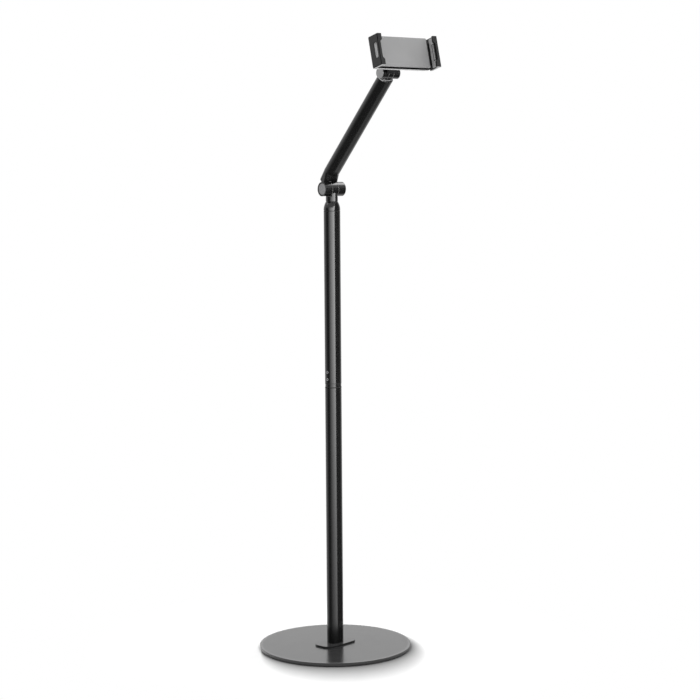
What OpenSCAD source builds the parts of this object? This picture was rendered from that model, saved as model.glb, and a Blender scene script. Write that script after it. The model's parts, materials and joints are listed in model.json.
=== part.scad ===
// Adjustable tablet floor stand: a weighted round base, a two-piece oval pole,
// a swivelling neck, a hinged arm and a tilting, turning holder with a sprung jaw.
// Origin on the floor under the pole, +Z up, -Y towards the user.

/* [Base] */
// Diameter of the steel base plate
base_d = 290; // [240:5:340]
// Thickness of the base plate
base_t = 5.5; // [5:0.5:10]
// Rounding of the base plate's upper rim
base_edge = 0.6; // [0.4:0.1:2]
// Thickness of the floor pad under the base
pad_t = 1.5; // [1:0.5:3]
// How far the pad stays inside the base's rim
pad_inset = 6; // [3:1:15]
// Thread of the screws that hold the pole's foot
foot_screw_d = 6; // [4:1:6]
// Reach of those screws into the foot's spigot
foot_screw_reach = 18; // [10:1:24]
// Distance between those screws
foot_screw_pitch = 16; // [14:0.5:17]

/* [Pole] */
// Length of the foot flange along the pole's wide side
foot_w = 84; // [60:1:90]
// Width of the foot flange
foot_d = 46; // [36:1:60]
// Thickness of the foot flange
foot_t = 3; // [2.5:0.5:8]
// Corner radius of the foot flange
foot_corner = 17; // [2:0.5:18]
// Height of the spigot inside the lower tube
spigot_h = 40; // [30:1:80]
// Turn of the pole about the vertical, against the arm
pole_turn = 11; // [-45:1:45]
// Wide side of the oval pole tube
pole_w = 34; // [31:0.5:40]
// Narrow side of the oval pole tube
pole_d = 26; // [24:0.5:29]
// Wall of the pole tubes
pole_wall = 2; // [1.5:0.1:2.4]
// Length of the lower tube
lower_h = 494.5; // [300:0.5:600]
// Length of the upper tube
upper_h = 327; // [200:1:450]
// Height of the collar between the tubes
collar_h = 6.5; // [3:0.5:12]
// Step of the collar inside the tubes' outline
collar_inset = 0.4; // [0.2:0.1:1]
// Reach of the joining core into each tube
core_reach = 55; // [40:1:90]
// Wall of the joining core
core_wall = 4; // [3:0.5:6]
// Thread of the joint's grub screws
joint_screw_d = 5; // [3:0.5:6]
// Height of the first grub screw above the collar
joint_screw_rise = 8.5; // [6:0.5:14]
// Distance between the grub screws
joint_screw_pitch = 13.5; // [9:0.5:20]

/* [Neck] */
// Straight band at the foot of the pole's cap
cap_band = 3.5; // [2:0.5:10]
// Depth of the shadow line under the cap's band
seam_in = 0.6; // [0.2:0.1:0.8]
// Height of the cap's taper
cap_taper = 13.5; // [8:0.5:30]
// Depth of the cap's plug in the upper tube
cap_plug_h = 30; // [20:1:60]
// Diameter of the round neck
neck_d = 23; // [21:0.5:24]
// Height of the round neck
neck_h = 8; // [4:0.5:20]
// Diameter of the neck's stem in the cap
stem_d = 10; // [8:0.5:11]
// Wall of the bush around the stem
bush_wall = 1.5; // [1:0.1:1.8]
// Flange of the bush between cap and neck
bush_flange_t = 1; // [0.6:0.1:2]

/* [Elbow] */
// Diameter of the elbow's barrel
elbow_d = 27; // [26:0.5:34]
// Length of the elbow's barrel over its end caps
elbow_w = 46.5; // [41:0.5:60]
// Rim of the barrel round its end discs
elbow_rim = 2.4; // [1.5:0.1:2.8]
// Width of the neck's middle knuckle
elbow_tongue_w = 13; // [10:0.5:14]
// Bolt of the elbow
elbow_bolt_d = 8; // [6:0.5:8]
// Lean of the arm from the vertical
arm_lean = 44.5; // [0:0.5:120]

/* [Arm] */
// Wide side of the oval arm tube
arm_w = 31; // [26:0.5:34]
// Narrow side of the oval arm tube
arm_d = 22.5; // [20:0.5:25]
// Wall of the arm tube
arm_wall = 2; // [1.5:0.1:3]
// Length of the arm tube
arm_len = 230.5; // [150:0.5:400]
// Distance of the arm's centre line behind the elbow's axis
arm_offset = 22.5; // [20:0.5:30]
// Start of the tube beyond the elbow's axis
arm_start = 24; // [20:0.5:30]
// Depth of the plugs in the arm tube
arm_plug_h = 35; // [20:1:60]

/* [Tilt hinge] */
// Diameter of the tilt hinge's barrel
tilt_d = 20; // [18:0.5:26]
// Length of the tilt barrel over its end caps
tilt_w = 41; // [35:0.5:50]
// Width of the arm's middle knuckle
tilt_tongue_w = 9.4; // [8:0.2:11]
// Bolt of the tilt hinge
tilt_bolt_d = 6; // [5:0.5:6]
// Rise of the holder's face above the level
head_rise = 14; // [-20:1:80]
// Diameter of the boss that the holder turns on
boss_d = 28; // [26:1:36]
// Height of the holder's turning axis above the tilt axis
boss_rise = 22.5; // [20:0.5:35]
// Back of the holder, in front of the tilt axis
holder_out = 33; // [32:0.5:50]
// Bolt that the holder turns on
turn_bolt_d = 8; // [6:0.5:8]

/* [Holder] */
// Width of the holder's tray
holder_w = 121; // [114:1:150]
// Height of the holder
holder_h = 57; // [56:1:80]
// Corner radius of the holder
holder_corner = 3; // [2:0.5:8]
// Thickness of the back cover
back_t = 6; // [5:0.5:12]
// Step of the back cover inside the tray's outline
back_inset = 1.5; // [0.5:0.5:3]
// Thickness of the slide tray
tray_t = 8; // [7:0.5:12]
// Thickness of the face plate
face_t = 2; // [1.5:0.5:4]
// Step of the face plate inside the tray's ends
face_in = 2.5; // [0.5:0.1:2.5]
// Step of the face plate above the tray's lower edge
face_low = 2.4; // [0.5:0.1:2.4]
// Corner radius of the face plate
face_corner = 1.5; // [0.5:0.1:4]
// Walls of the tray and the cover
tray_wall = 3.4; // [2.6:0.1:3.4]
// Width of the sliding rail
rail_w = 37; // [30:1:37]
// Length of the rail inside the tray
rail_len = 108; // [90:1:109]
// Height of the rail's spring tabs over their neighbours
tab_t = 1.8; // [1.2:0.1:2]
// Gap between the tray and the closed jaw
jaw_gap = 4.5; // [3:0.5:12]
// Thickness of a jaw's wall
jaw_t = 6; // [5:0.5:9]
// Depth of a jaw from the tray's back to its free edge
jaw_depth = 26; // [24:0.5:36]
// Reach of the lips at a jaw's free edge
lip_reach = 4; // [2:0.5:7]
// Thickness of the lips
lip_t = 4; // [3:0.5:4]
// Height of each lip
lip_h = 14.5; // [10:0.5:14.5]
// Length of the slot in a jaw
slot_len = 27; // [18:1:27]
// Width of the slot in a jaw
slot_w = 9; // [5:0.5:9]
// Thickness of the rubber pads in the jaws
jaw_pad_t = 1.5; // [1:0.1:2.5]
// Outer diameter of the jaw's springs
spring_d = 4.4; // [3.6:0.1:4.4]
// Wire of the jaw's springs
spring_wire = 0.7; // [0.5:0.1:0.9]
// Turns of each spring
spring_turns = 14; // [8:1:18]

/* [Fits] */
// Play of a spigot or plug in its tube, each side
plug_fit = 0.1; // [0.05:0.05:0.3]
// Running play of a pin in its bore, each side
pin_fit = 0.05; // [0.02:0.01:0.1]
// Play between faces that slide on each other
face_fit = 0.1; // [0.05:0.05:0.2]
// Play of the rail in its tray
rail_fit = 0.3; // [0.2:0.05:0.5]
// Room around knuckles that swing past other pieces
swing_gap = 1; // [0.8:0.1:2]
// Thickness of the hinges' friction washers
washer_t = 1; // [0.6:0.1:1.2]

/* [Hidden] */
$fn = 64;
hull_fn = 32;
// Thickness of a section that only guides a hull
sliver = 0.01;
// Length by which a cut runs past the faces that it opens
over = 1;

// Heights from the floor up
base_z = pad_t;
foot_z = base_z + base_t;
lower_z = foot_z + foot_t;
collar_z = lower_z + lower_h;
upper_z = collar_z + collar_h;
cap_z = upper_z + upper_h;
cap_top_z = cap_z + cap_band + cap_taper;
neck_z = cap_top_z + bush_flange_t + face_fit;
elbow_z = neck_z + neck_h + swing_gap + elbow_d / 2;
cap_plug_z = cap_z - cap_plug_h;

// Oval inside of the pole and of the arm
pole_in_w = pole_w - 2 * (pole_wall + plug_fit);
pole_in_d = pole_d - 2 * (pole_wall + plug_fit);
arm_in_w = arm_w - 2 * (arm_wall + plug_fit);
arm_in_d = arm_d - 2 * (arm_wall + plug_fit);

// Countersunk heads under the base
foot_head_d = 2 * foot_screw_d;
foot_head_h = foot_head_d / 2 - foot_screw_d / 2;
foot_head_sink = 0.3;
foot_screw_room = 1;
pad_access_d = foot_head_d + 3 * foot_screw_room;

// Grub screws of the pole's joint
grub_len = 7;
grub_sink = 0.3;
grub_socket = joint_screw_d / 2;

// Cap taper: steps of the curve and how late it draws in
taper_steps = 5;
taper_power = 1.7;
seam_h = 1;
bush_d = stem_d + 2 * (bush_wall + pin_fit);
bush_flange_in = 0.5;
bush_flange_d = neck_d - 2 * bush_flange_in;
stem_nut_h = 8;
stem_nut_af = 1.6 * stem_d;
stem_spare = 3;
stem_end_z = cap_plug_z - washer_t - stem_nut_h - stem_spare;
swivel_washer_d = pole_in_d - 2;

// Hinge stacks: knuckles, counterbores, bolt heads and nuts along the axis
elbow_cap_t = 3;
tilt_cap_t = 1.5;
cap_sink = 0.5;
cap_rim = 0.6;
cap_plug_t = 0.6;
cap_room = 0.3;
hinge_washer_in = 0.3;
elbow_half = elbow_w / 2 - elbow_cap_t;
elbow_disc_d = elbow_d - 2 * elbow_rim;
tilt_half = tilt_w / 2 - tilt_cap_t;
// Hexagon socket of a screw, as a share of its thread
socket_share = 0.7;
function hex_d(flats) = flats / cos(30);
function head_dia(bolt_d) = 1.6 * bolt_d;
function nut_af(bolt_d) = 1.6 * bolt_d;
function pocket_dia(bolt_d) = 2 * bolt_d;
function head_high(bolt_d) = 0.75 * bolt_d;
fork_bottom = -1;
fork_round = 3;
fork_round_in = 2.5;
fork_corner = 6;
fork_shift = 6;
top_collar_t = 3;
top_bevel = 0.5;
tongue_in = 2;
arm_end = arm_start + arm_len;
arm_reach = arm_end + top_collar_t + swing_gap + tilt_d / 2;

// Bracket and turning axis, from the tilt axis outwards
turn_washer_t = 1;
boss_len = 15;
boss_back = holder_out - boss_len;
boss_front = holder_out - turn_washer_t - face_fit;
bracket_half = 12;
turn_head_h = 5;
turn_nut_h = 5;
turn_nut_af = 1.6 * turn_bolt_d;
turn_washer_d = boss_d - 4;
nut_room = 2;
// Web between the tilt barrel and the boss
web_in = 2;
web_rise = 3;
web_top = boss_rise + boss_d / 4;

// Holder layers, from the back outwards
back_floor = 2;
tray_out = holder_out + back_t;
tray_floor = 2;
rail_out = tray_out + tray_floor + rail_fit;
rail_t = tray_t - tray_floor - 2 * rail_fit;
face_out = tray_out + tray_t;
front_out = face_out + face_t;
back_screw_d = 2.5;
back_screw_in = 6;
back_head_h = 1.6;
back_head_d = 2 * back_screw_d;
post_d = 6;
guide_t = 1.2;
guide_h = 2;
back_screw_len = back_t - back_head_h + tray_floor + guide_h - face_fit;
jaw_screw_d = 3;
jaw_screw_len = 7;
jaw_screw_rise = 12;
jaw_head_h = 2;
jaw_head_d = 2 * jaw_screw_d;
jaw_socket_h = 1.2;
inner_head_h = 1;
jaw_edge = 1.2;
jaw_pad_in = 2;
slot_edge = 2;
slot_corner = 2.5;
pad_sink = 1.2;
bead_h = 0.5;
bead_out = 0.2;
bead_in = 1;

// Sprung slide along the holder
rail_left = holder_w / 2 - rail_len;
tab_in = 38;
tab_x = -holder_w / 2 + tray_wall + tab_in;
tab_len = 4;
spring_y = rail_w / 2 + rail_fit + guide_t + spring_d / 2 + rail_fit;
spring_from = -holder_w / 2 + back_screw_in + post_d / 2 + face_fit;
spring_to = tab_x - tab_len / 2 - face_fit;
spring_sides = 6;
spring_steps = 10;
spring_out = rail_out + rail_t - tab_t / 2 - spring_d / 2;

// Frames that the pieces are placed in

module pole_frame() rotate([0, 0, pole_turn]) children();

// Elbow axis along X, Z along the arm and Y to its back
module arm_frame() translate([0, 0, elbow_z]) rotate([arm_lean, 0, 0]) children();

// Tilt axis along X, Y up the holder and Z out of its face
module tilt_frame()
    arm_frame() translate([0, arm_offset, arm_reach]) rotate([90 - head_rise - arm_lean, 0, 0]) children();

// Middle of the holder
module holder_frame() tilt_frame() translate([0, boss_rise, 0]) children();

// Shapes that repeat

module oval(w, d) {
    for (side = [-1, 1]) translate([side * (w - d) / 2, 0]) circle(d = d);
    square([w - d, d], center = true);
}

module oval_bar(w, d, h) linear_extrude(h) oval(w, d);

module oval_tube(w, d, wall, h)
    linear_extrude(h) difference() {
        oval(w, d);
        oval(w - 2 * wall, d - 2 * wall);
    }

module soft_rect(w, h, r) {
    square([w - 2 * r, h], center = true);
    square([w, h - 2 * r], center = true);
    for (x = [-1, 1], y = [-1, 1]) translate([x * (w / 2 - r), y * (h / 2 - r)]) circle(r);
}

// A round bar along X
module x_bar(d, from, to) translate([from, 0, 0]) rotate([0, 90, 0]) cylinder(d = d, h = to - from);

// A hexagon along X, measured across its flats
module x_hex(af, from, to)
    translate([from, 0, 0]) rotate([0, 90, 0]) cylinder(d = hex_d(af), h = to - from, $fn = 6);

// A hinge bolt: round head with a hexagon socket at the left, plain shank to the right
module hinge_bolt(bolt_d, seat, tip) {
    head_h = head_high(bolt_d);
    difference() {
        union() {
            x_bar(bolt_d, -seat, tip);
            x_bar(head_dia(bolt_d), -seat - head_h, -seat);
        }
        x_hex(socket_share * bolt_d, -seat - head_h - over, -seat - head_h / 2);
    }
}

module hinge_nut(bolt_d, seat)
    difference() {
        x_hex(nut_af(bolt_d), seat, seat + head_high(bolt_d));
        x_bar(bolt_d + 2 * pin_fit, seat - over, seat + head_high(bolt_d) + over);
    }

module hinge_washers(outer_d, bolt_d, tongue_w)
    for (side = [-1, 1])
        mirror([side < 0 ? 1 : 0, 0, 0]) difference() {
            x_bar(outer_d, tongue_w / 2 + face_fit, tongue_w / 2 + washer_t);
            x_bar(bolt_d + 2 * pin_fit, 0, tongue_w);
        }

// An end cap of a hinge barrel: a disc with a bevelled rim and a short plug
module hinge_cap(disc_d, disc_t, bolt_d, half)
    translate([half, 0, 0]) rotate([0, 90, 0]) {
        cylinder(d = disc_d, h = disc_t - cap_rim);
        translate([0, 0, disc_t - cap_rim]) cylinder(d1 = disc_d, d2 = disc_d - 2 * cap_rim, h = cap_rim);
        translate([0, 0, -cap_plug_t]) cylinder(d = pocket_dia(bolt_d) - 2 * plug_fit, h = cap_plug_t);
    }

// Bore and end pockets of a hinge barrel, and the space where the middle knuckle swings
module hinge_cuts(barrel_d, bolt_d, half, seat, gap_w) {
    x_bar(bolt_d + 2 * pin_fit, -half - over, half + over);
    for (side = [-1, 1]) mirror([side < 0 ? 1 : 0, 0, 0]) x_bar(pocket_dia(bolt_d), seat, half + over);
    x_bar(barrel_d + 2 * swing_gap, -gap_w / 2, gap_w / 2);
}

function hinge_seat(bolt_d, half) = half - cap_plug_t - head_high(bolt_d) - cap_room;
elbow_seat = hinge_seat(elbow_bolt_d, elbow_half);
tilt_seat = hinge_seat(tilt_bolt_d, tilt_half);
elbow_gap_w = elbow_tongue_w + 2 * washer_t;
tilt_gap_w = tilt_tongue_w + 2 * washer_t;

// Base and pole

module at_foot_screws()
    pole_frame() for (side = [-1, 1]) translate([side * foot_screw_pitch / 2, 0, 0]) children();

module floor_pad()
    color("#1c1c1c") difference() {
        cylinder(d = base_d - 2 * pad_inset, h = pad_t, $fn = 128);
        at_foot_screws() translate([0, 0, -over]) cylinder(d = pad_access_d, h = pad_t + 2 * over);
    }

module base_plate()
    color("#4a4b4c") translate([0, 0, base_z]) difference() {
        rotate_extrude($fn = 180) {
            square([base_d / 2 - base_edge, base_t]);
            square([base_d / 2, base_t - base_edge]);
            translate([base_d / 2 - base_edge, base_t - base_edge]) circle(base_edge);
        }
        at_foot_screws() translate([0, 0, -over])
            cylinder(d = foot_screw_d + foot_screw_room, h = base_t + 2 * over);
        at_foot_screws() translate([0, 0, -sliver])
            cylinder(d1 = foot_head_d + foot_screw_room, d2 = foot_screw_d + foot_screw_room,
                h = foot_head_h + foot_head_sink);
    }

module base_screws()
    color("silver") at_foot_screws() translate([0, 0, base_z + foot_head_sink]) difference() {
        union() {
            cylinder(d1 = foot_head_d, d2 = foot_screw_d, h = foot_head_h);
            cylinder(d = foot_screw_d, h = base_t - foot_head_sink + foot_t + foot_screw_reach);
        }
        translate([0, 0, -over])
            cylinder(d = hex_d(socket_share * foot_screw_d), h = over + foot_head_h, $fn = 6);
    }

module pole_foot()
    color("#202021") difference() {
        pole_frame() translate([0, 0, foot_z]) {
            linear_extrude(foot_t) soft_rect(foot_w, foot_d, foot_corner);
            oval_bar(pole_in_w, pole_in_d, foot_t + spigot_h);
        }
        at_foot_screws() translate([0, 0, foot_z - over])
            cylinder(d = foot_screw_d + 2 * pin_fit, h = foot_t + foot_screw_reach + 2 * over);
    }

module lower_pole()
    color("#232324") pole_frame() translate([0, 0, lower_z]) oval_tube(pole_w, pole_d, pole_wall, lower_h);

module joint_collar()
    color("#2b2b2c") pole_frame() translate([0, 0, collar_z]) linear_extrude(collar_h) difference() {
        oval(pole_w - 2 * collar_inset, pole_d - 2 * collar_inset);
        oval(pole_in_w + 2 * plug_fit, pole_in_d + 2 * plug_fit);
    }

module at_joint_screws()
    pole_frame() for (i = [0, 1])
        translate([-pole_w / 2, 0, upper_z + joint_screw_rise + i * joint_screw_pitch]) children();

module joint_core()
    color("#8d8f91") difference() {
        pole_frame() translate([0, 0, collar_z - core_reach])
            oval_tube(pole_in_w, pole_in_d, core_wall, collar_h + 2 * core_reach);
        at_joint_screws() x_bar(joint_screw_d + 2 * pin_fit, -over, pole_w / 2);
    }

module joint_screws()
    color("#b9babb") at_joint_screws() difference() {
        x_bar(joint_screw_d, grub_sink, grub_sink + grub_len);
        x_hex(grub_socket, -over, grub_sink + grub_len / 2);
    }

module upper_pole()
    color("#232324") difference() {
        pole_frame() translate([0, 0, upper_z]) oval_tube(pole_w, pole_d, pole_wall, upper_h);
        at_joint_screws() x_bar(joint_screw_d + 4 * pin_fit, -over, pole_w / 2);
    }

// Section of the cap's taper: from the pole's oval to the neck's circle
module taper_section(t) {
    draw_in = 1 - pow(t, taper_power);
    translate([0, 0, cap_z + cap_band + t * (cap_taper - sliver)]) linear_extrude(sliver)
        oval(neck_d + (pole_w - neck_d) * draw_in, neck_d + (pole_d - neck_d) * draw_in, $fn = hull_fn);
}

module pole_cap()
    color("#2a2a2b") difference() {
        pole_frame() {
            translate([0, 0, cap_plug_z]) oval_bar(pole_in_w, pole_in_d, cap_plug_h);
            translate([0, 0, cap_z]) oval_bar(pole_w - 2 * seam_in, pole_d - 2 * seam_in, cap_band);
            translate([0, 0, cap_z + seam_h]) oval_bar(pole_w, pole_d, cap_band - seam_h);
            hull() for (i = [0 : taper_steps]) taper_section(i / taper_steps);
        }
        translate([0, 0, cap_plug_z - over])
            cylinder(d = bush_d + 2 * plug_fit, h = cap_top_z - cap_plug_z + 2 * over);
    }

// Neck that turns in the cap

module swivel_bush()
    color("#1c1c1c") difference() {
        union() {
            translate([0, 0, cap_plug_z]) cylinder(d = bush_d, h = cap_top_z - cap_plug_z);
            translate([0, 0, cap_top_z]) cylinder(d = bush_flange_d, h = bush_flange_t);
        }
        translate([0, 0, cap_plug_z - over])
            cylinder(d = stem_d + 2 * pin_fit, h = cap_top_z - cap_plug_z + bush_flange_t + 2 * over);
    }

module swivel_post()
    color("#2a2a2b") difference() {
        union() {
            translate([0, 0, stem_end_z]) cylinder(d = stem_d, h = neck_z - stem_end_z);
            translate([0, 0, neck_z]) cylinder(d = neck_d, h = neck_h);
            intersection() {
                translate([0, 0, neck_z]) cylinder(d = neck_d, h = elbow_z - neck_z);
                translate([-elbow_tongue_w / 2, -neck_d, neck_z])
                    cube([elbow_tongue_w, 2 * neck_d, elbow_z - neck_z]);
            }
            translate([0, 0, elbow_z]) x_bar(elbow_d, -elbow_tongue_w / 2, elbow_tongue_w / 2);
        }
        translate([0, 0, elbow_z]) x_bar(elbow_bolt_d + 2 * pin_fit, -elbow_tongue_w, elbow_tongue_w);
    }

module swivel_washer()
    color("silver") translate([0, 0, cap_plug_z - face_fit - washer_t]) difference() {
        cylinder(d = swivel_washer_d, h = washer_t);
        translate([0, 0, -over]) cylinder(d = stem_d + 2 * pin_fit, h = washer_t + 2 * over);
    }

module swivel_nut()
    color("silver") translate([0, 0, cap_plug_z - face_fit - washer_t - stem_nut_h]) difference() {
        cylinder(d = hex_d(stem_nut_af), h = stem_nut_h, $fn = 6);
        translate([0, 0, -over]) cylinder(d = stem_d + 2 * pin_fit, h = stem_nut_h + 2 * over);
    }

// Arm

// A section of the fork below the arm's tube: a block that shifts forward to the barrel
module fork_section(z, inset)
    translate([0, arm_offset - fork_shift, z]) linear_extrude(sliver)
        soft_rect(arm_w - 2 * inset, arm_d - 2 * inset, fork_corner - inset, $fn = hull_fn);

module elbow_fork()
    color("#2a2a2b") arm_frame() difference() {
        union() {
            x_bar(elbow_d, -elbow_w / 2, elbow_w / 2);
            hull() {
                translate([0, arm_offset, arm_start - sliver]) oval_bar(arm_w, arm_d, sliver, $fn = hull_fn);
                fork_section(fork_bottom + fork_round, 0);
                fork_section(fork_bottom, fork_round_in);
            }
            translate([0, arm_offset, arm_start - sliver]) oval_bar(arm_in_w, arm_in_d, arm_plug_h + sliver);
        }
        hinge_cuts(elbow_d, elbow_bolt_d, elbow_half, elbow_seat, elbow_gap_w);
        for (side = [-1, 1]) mirror([side < 0 ? 1 : 0, 0, 0])
            x_bar(elbow_disc_d + 2 * plug_fit, elbow_half, elbow_w / 2 + over);
    }

module elbow_bolt()
    color("silver") arm_frame() hinge_bolt(elbow_bolt_d, elbow_seat, elbow_half - cap_plug_t);

module elbow_nut() color("silver") arm_frame() hinge_nut(elbow_bolt_d, elbow_seat);

module elbow_washers()
    color("#d8d6d0") arm_frame()
        hinge_washers(elbow_d - 2 * hinge_washer_in, elbow_bolt_d, elbow_tongue_w);

module elbow_cap_right()
    color("#77787a") arm_frame() hinge_cap(elbow_disc_d, elbow_cap_t - cap_sink, elbow_bolt_d, elbow_half);

module elbow_cap_left()
    color("#77787a") arm_frame() mirror([1, 0, 0])
        hinge_cap(elbow_disc_d, elbow_cap_t - cap_sink, elbow_bolt_d, elbow_half);

module arm_tube()
    color("#262627") arm_frame() translate([0, arm_offset, arm_start])
        oval_tube(arm_w, arm_d, arm_wall, arm_len);

module arm_tongue()
    color("#2a2a2b") arm_frame() translate([0, arm_offset, 0]) difference() {
        union() {
            translate([0, 0, arm_end - arm_plug_h]) oval_bar(arm_in_w, arm_in_d, arm_plug_h);
            translate([-tilt_tongue_w / 2, -tilt_d / 2 + tongue_in, arm_end])
                cube([tilt_tongue_w, tilt_d - 2 * tongue_in, arm_reach - arm_end]);
            translate([0, 0, arm_reach]) x_bar(tilt_d, -tilt_tongue_w / 2, tilt_tongue_w / 2);
        }
        translate([0, 0, arm_reach]) x_bar(tilt_bolt_d + 2 * pin_fit, -tilt_tongue_w, tilt_tongue_w);
    }

// Light trim plate on the tube's upper end, with an opening for the tongue
module arm_trim()
    color("#8e8f90") arm_frame() translate([0, arm_offset, arm_end]) difference() {
        hull() {
            oval_bar(arm_w, arm_d, top_collar_t - top_bevel, $fn = hull_fn);
            oval_bar(arm_w - 2 * top_bevel, arm_d - 2 * top_bevel, top_collar_t, $fn = hull_fn);
        }
        translate([-tilt_tongue_w / 2 - plug_fit, -tilt_d / 2 + tongue_in - plug_fit, -over])
            cube([tilt_tongue_w + 2 * plug_fit, tilt_d - 2 * (tongue_in - plug_fit),
                top_collar_t + 2 * over]);
    }

// Tilt hinge

module tilt_bracket()
    color("#2a2a2b") tilt_frame() difference() {
        union() {
            x_bar(tilt_d, -tilt_half, tilt_half);
            rotate([90, 0, 90]) translate([0, 0, -bracket_half]) linear_extrude(2 * bracket_half)
                polygon([[-tilt_d / 2, 0], [boss_rise - boss_d / 2 + web_in, boss_front],
                    [web_top, boss_front], [web_top, boss_back + web_rise], [tilt_d / 2, 0]]);
            translate([0, boss_rise, boss_back]) cylinder(d = boss_d, h = boss_front - boss_back);
        }
        hinge_cuts(tilt_d, tilt_bolt_d, tilt_half, tilt_seat, tilt_gap_w);
        translate([0, boss_rise, 0]) cylinder(d = turn_bolt_d + 2 * pin_fit, h = holder_out);
        translate([0, boss_rise, 0]) cylinder(d = head_dia(turn_bolt_d) + nut_room, h = boss_back);
    }

module tilt_bolt()
    color("silver") tilt_frame() hinge_bolt(tilt_bolt_d, tilt_seat, tilt_half - cap_plug_t);

module tilt_nut() color("silver") tilt_frame() hinge_nut(tilt_bolt_d, tilt_seat);

module tilt_washers()
    color("#d8d6d0") tilt_frame() hinge_washers(tilt_d - 2 * hinge_washer_in, tilt_bolt_d, tilt_tongue_w);

module tilt_cap_right()
    color("#77787a") tilt_frame() hinge_cap(tilt_d, tilt_cap_t, tilt_bolt_d, tilt_half);

module tilt_cap_left()
    color("#77787a") tilt_frame() mirror([1, 0, 0]) hinge_cap(tilt_d, tilt_cap_t, tilt_bolt_d, tilt_half);

// Holder that turns on the bracket

module turn_bolt()
    color("silver") holder_frame() difference() {
        union() {
            translate([0, 0, boss_back - face_fit - turn_head_h])
                cylinder(d = head_dia(turn_bolt_d), h = turn_head_h);
            translate([0, 0, boss_back - face_fit - sliver])
                cylinder(d = turn_bolt_d, h = holder_out + back_floor + turn_nut_h - boss_back);
        }
        translate([0, 0, boss_back - face_fit - turn_head_h - over])
            cylinder(d = hex_d(socket_share * turn_bolt_d), h = over + turn_head_h / 2, $fn = 6);
    }

module turn_washer()
    color("#d8d6d0") holder_frame() translate([0, 0, holder_out - turn_washer_t]) difference() {
        cylinder(d = turn_washer_d, h = turn_washer_t);
        translate([0, 0, -over]) cylinder(d = turn_bolt_d + 2 * pin_fit, h = turn_washer_t + 2 * over);
    }

module turn_nut()
    color("silver") holder_frame() translate([0, 0, holder_out + back_floor]) difference() {
        cylinder(d = hex_d(turn_nut_af), h = turn_nut_h, $fn = 6);
        translate([0, 0, -over]) cylinder(d = turn_bolt_d + 2 * pin_fit, h = turn_nut_h + 2 * over);
    }

module at_back_screws()
    for (x = [-1, 1], y = [-1, 1])
        translate([x * (holder_w / 2 - back_screw_in), y * (holder_h / 2 - back_screw_in), 0]) children();

module back_cover()
    color("#6a6b6c") holder_frame() difference() {
        translate([0, 0, holder_out]) linear_extrude(back_t)
            soft_rect(holder_w - 2 * back_inset, holder_h - 2 * back_inset, holder_corner);
        difference() {
            translate([0, 0, holder_out + back_floor]) linear_extrude(back_t)
                soft_rect(holder_w - 2 * back_inset - 2 * tray_wall,
                    holder_h - 2 * back_inset - 2 * tray_wall, holder_corner - back_inset);
            at_back_screws() translate([0, 0, holder_out]) cylinder(d = post_d, h = 2 * back_t);
        }
        cylinder(d = turn_bolt_d + 2 * pin_fit, h = 2 * holder_out);
        at_back_screws() translate([0, 0, holder_out - over])
            cylinder(d = back_head_d, h = back_head_h + over);
        at_back_screws() translate([0, 0, holder_out])
            cylinder(d = back_screw_d + 2 * pin_fit, h = 2 * back_t);
    }

module back_screws()
    color("silver") holder_frame() at_back_screws() translate([0, 0, holder_out]) difference() {
        union() {
            translate([0, 0, face_fit])
                cylinder(d = back_head_d - 4 * plug_fit, h = back_head_h - face_fit);
            translate([0, 0, back_head_h - sliver]) cylinder(d = back_screw_d, h = back_screw_len);
        }
        cylinder(d = hex_d(socket_share * back_screw_d), h = 2 * back_head_h / 3, $fn = 6);
    }

module slide_tray()
    color("#333435") holder_frame() difference() {
        translate([0, 0, tray_out]) linear_extrude(tray_t) soft_rect(holder_w, holder_h, holder_corner);
        difference() {
            translate([0, 0, tray_out + tray_floor]) linear_extrude(tray_t)
                soft_rect(holder_w - 2 * tray_wall, holder_h - 2 * tray_wall, holder_corner - tray_wall / 2);
            for (side = [0, 1])
                mirror([0, side, 0]) translate([-holder_w / 2, rail_w / 2 + rail_fit, tray_out])
                    cube([holder_w, guide_t, tray_floor + guide_h]);
            at_back_screws() translate([0, 0, tray_out]) cylinder(d = post_d, h = tray_floor + guide_h);
        }
        translate([0, -rail_w / 2 - rail_fit, tray_out + tray_floor])
            cube([holder_w, rail_w + 2 * rail_fit, tray_t]);
        translate([0, 0, tray_out - over])
            cylinder(d = hex_d(turn_nut_af) + nut_room, h = tray_floor + 2 * over);
        at_back_screws() translate([0, 0, tray_out - over])
            cylinder(d = back_screw_d + 2 * pin_fit, h = back_screw_len);
        at_jaw_screws(-1) x_bar(jaw_screw_d + 2 * pin_fit, -over, tray_wall + over);
    }

module face_plate()
    color("#9a9b9c") holder_frame() translate([0, face_low / 2, face_out]) linear_extrude(face_t)
        soft_rect(holder_w - 2 * face_in, holder_h - face_low, face_corner);

// Places of a jaw's screws, on the tray's end face at the left or the rail's at the right
module at_jaw_screws(side)
    for (y = [-1, 1])
        translate([side < 0 ? -holder_w / 2 : holder_w / 2 + jaw_gap, y * jaw_screw_rise,
            rail_out + rail_t / 2]) children();

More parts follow.
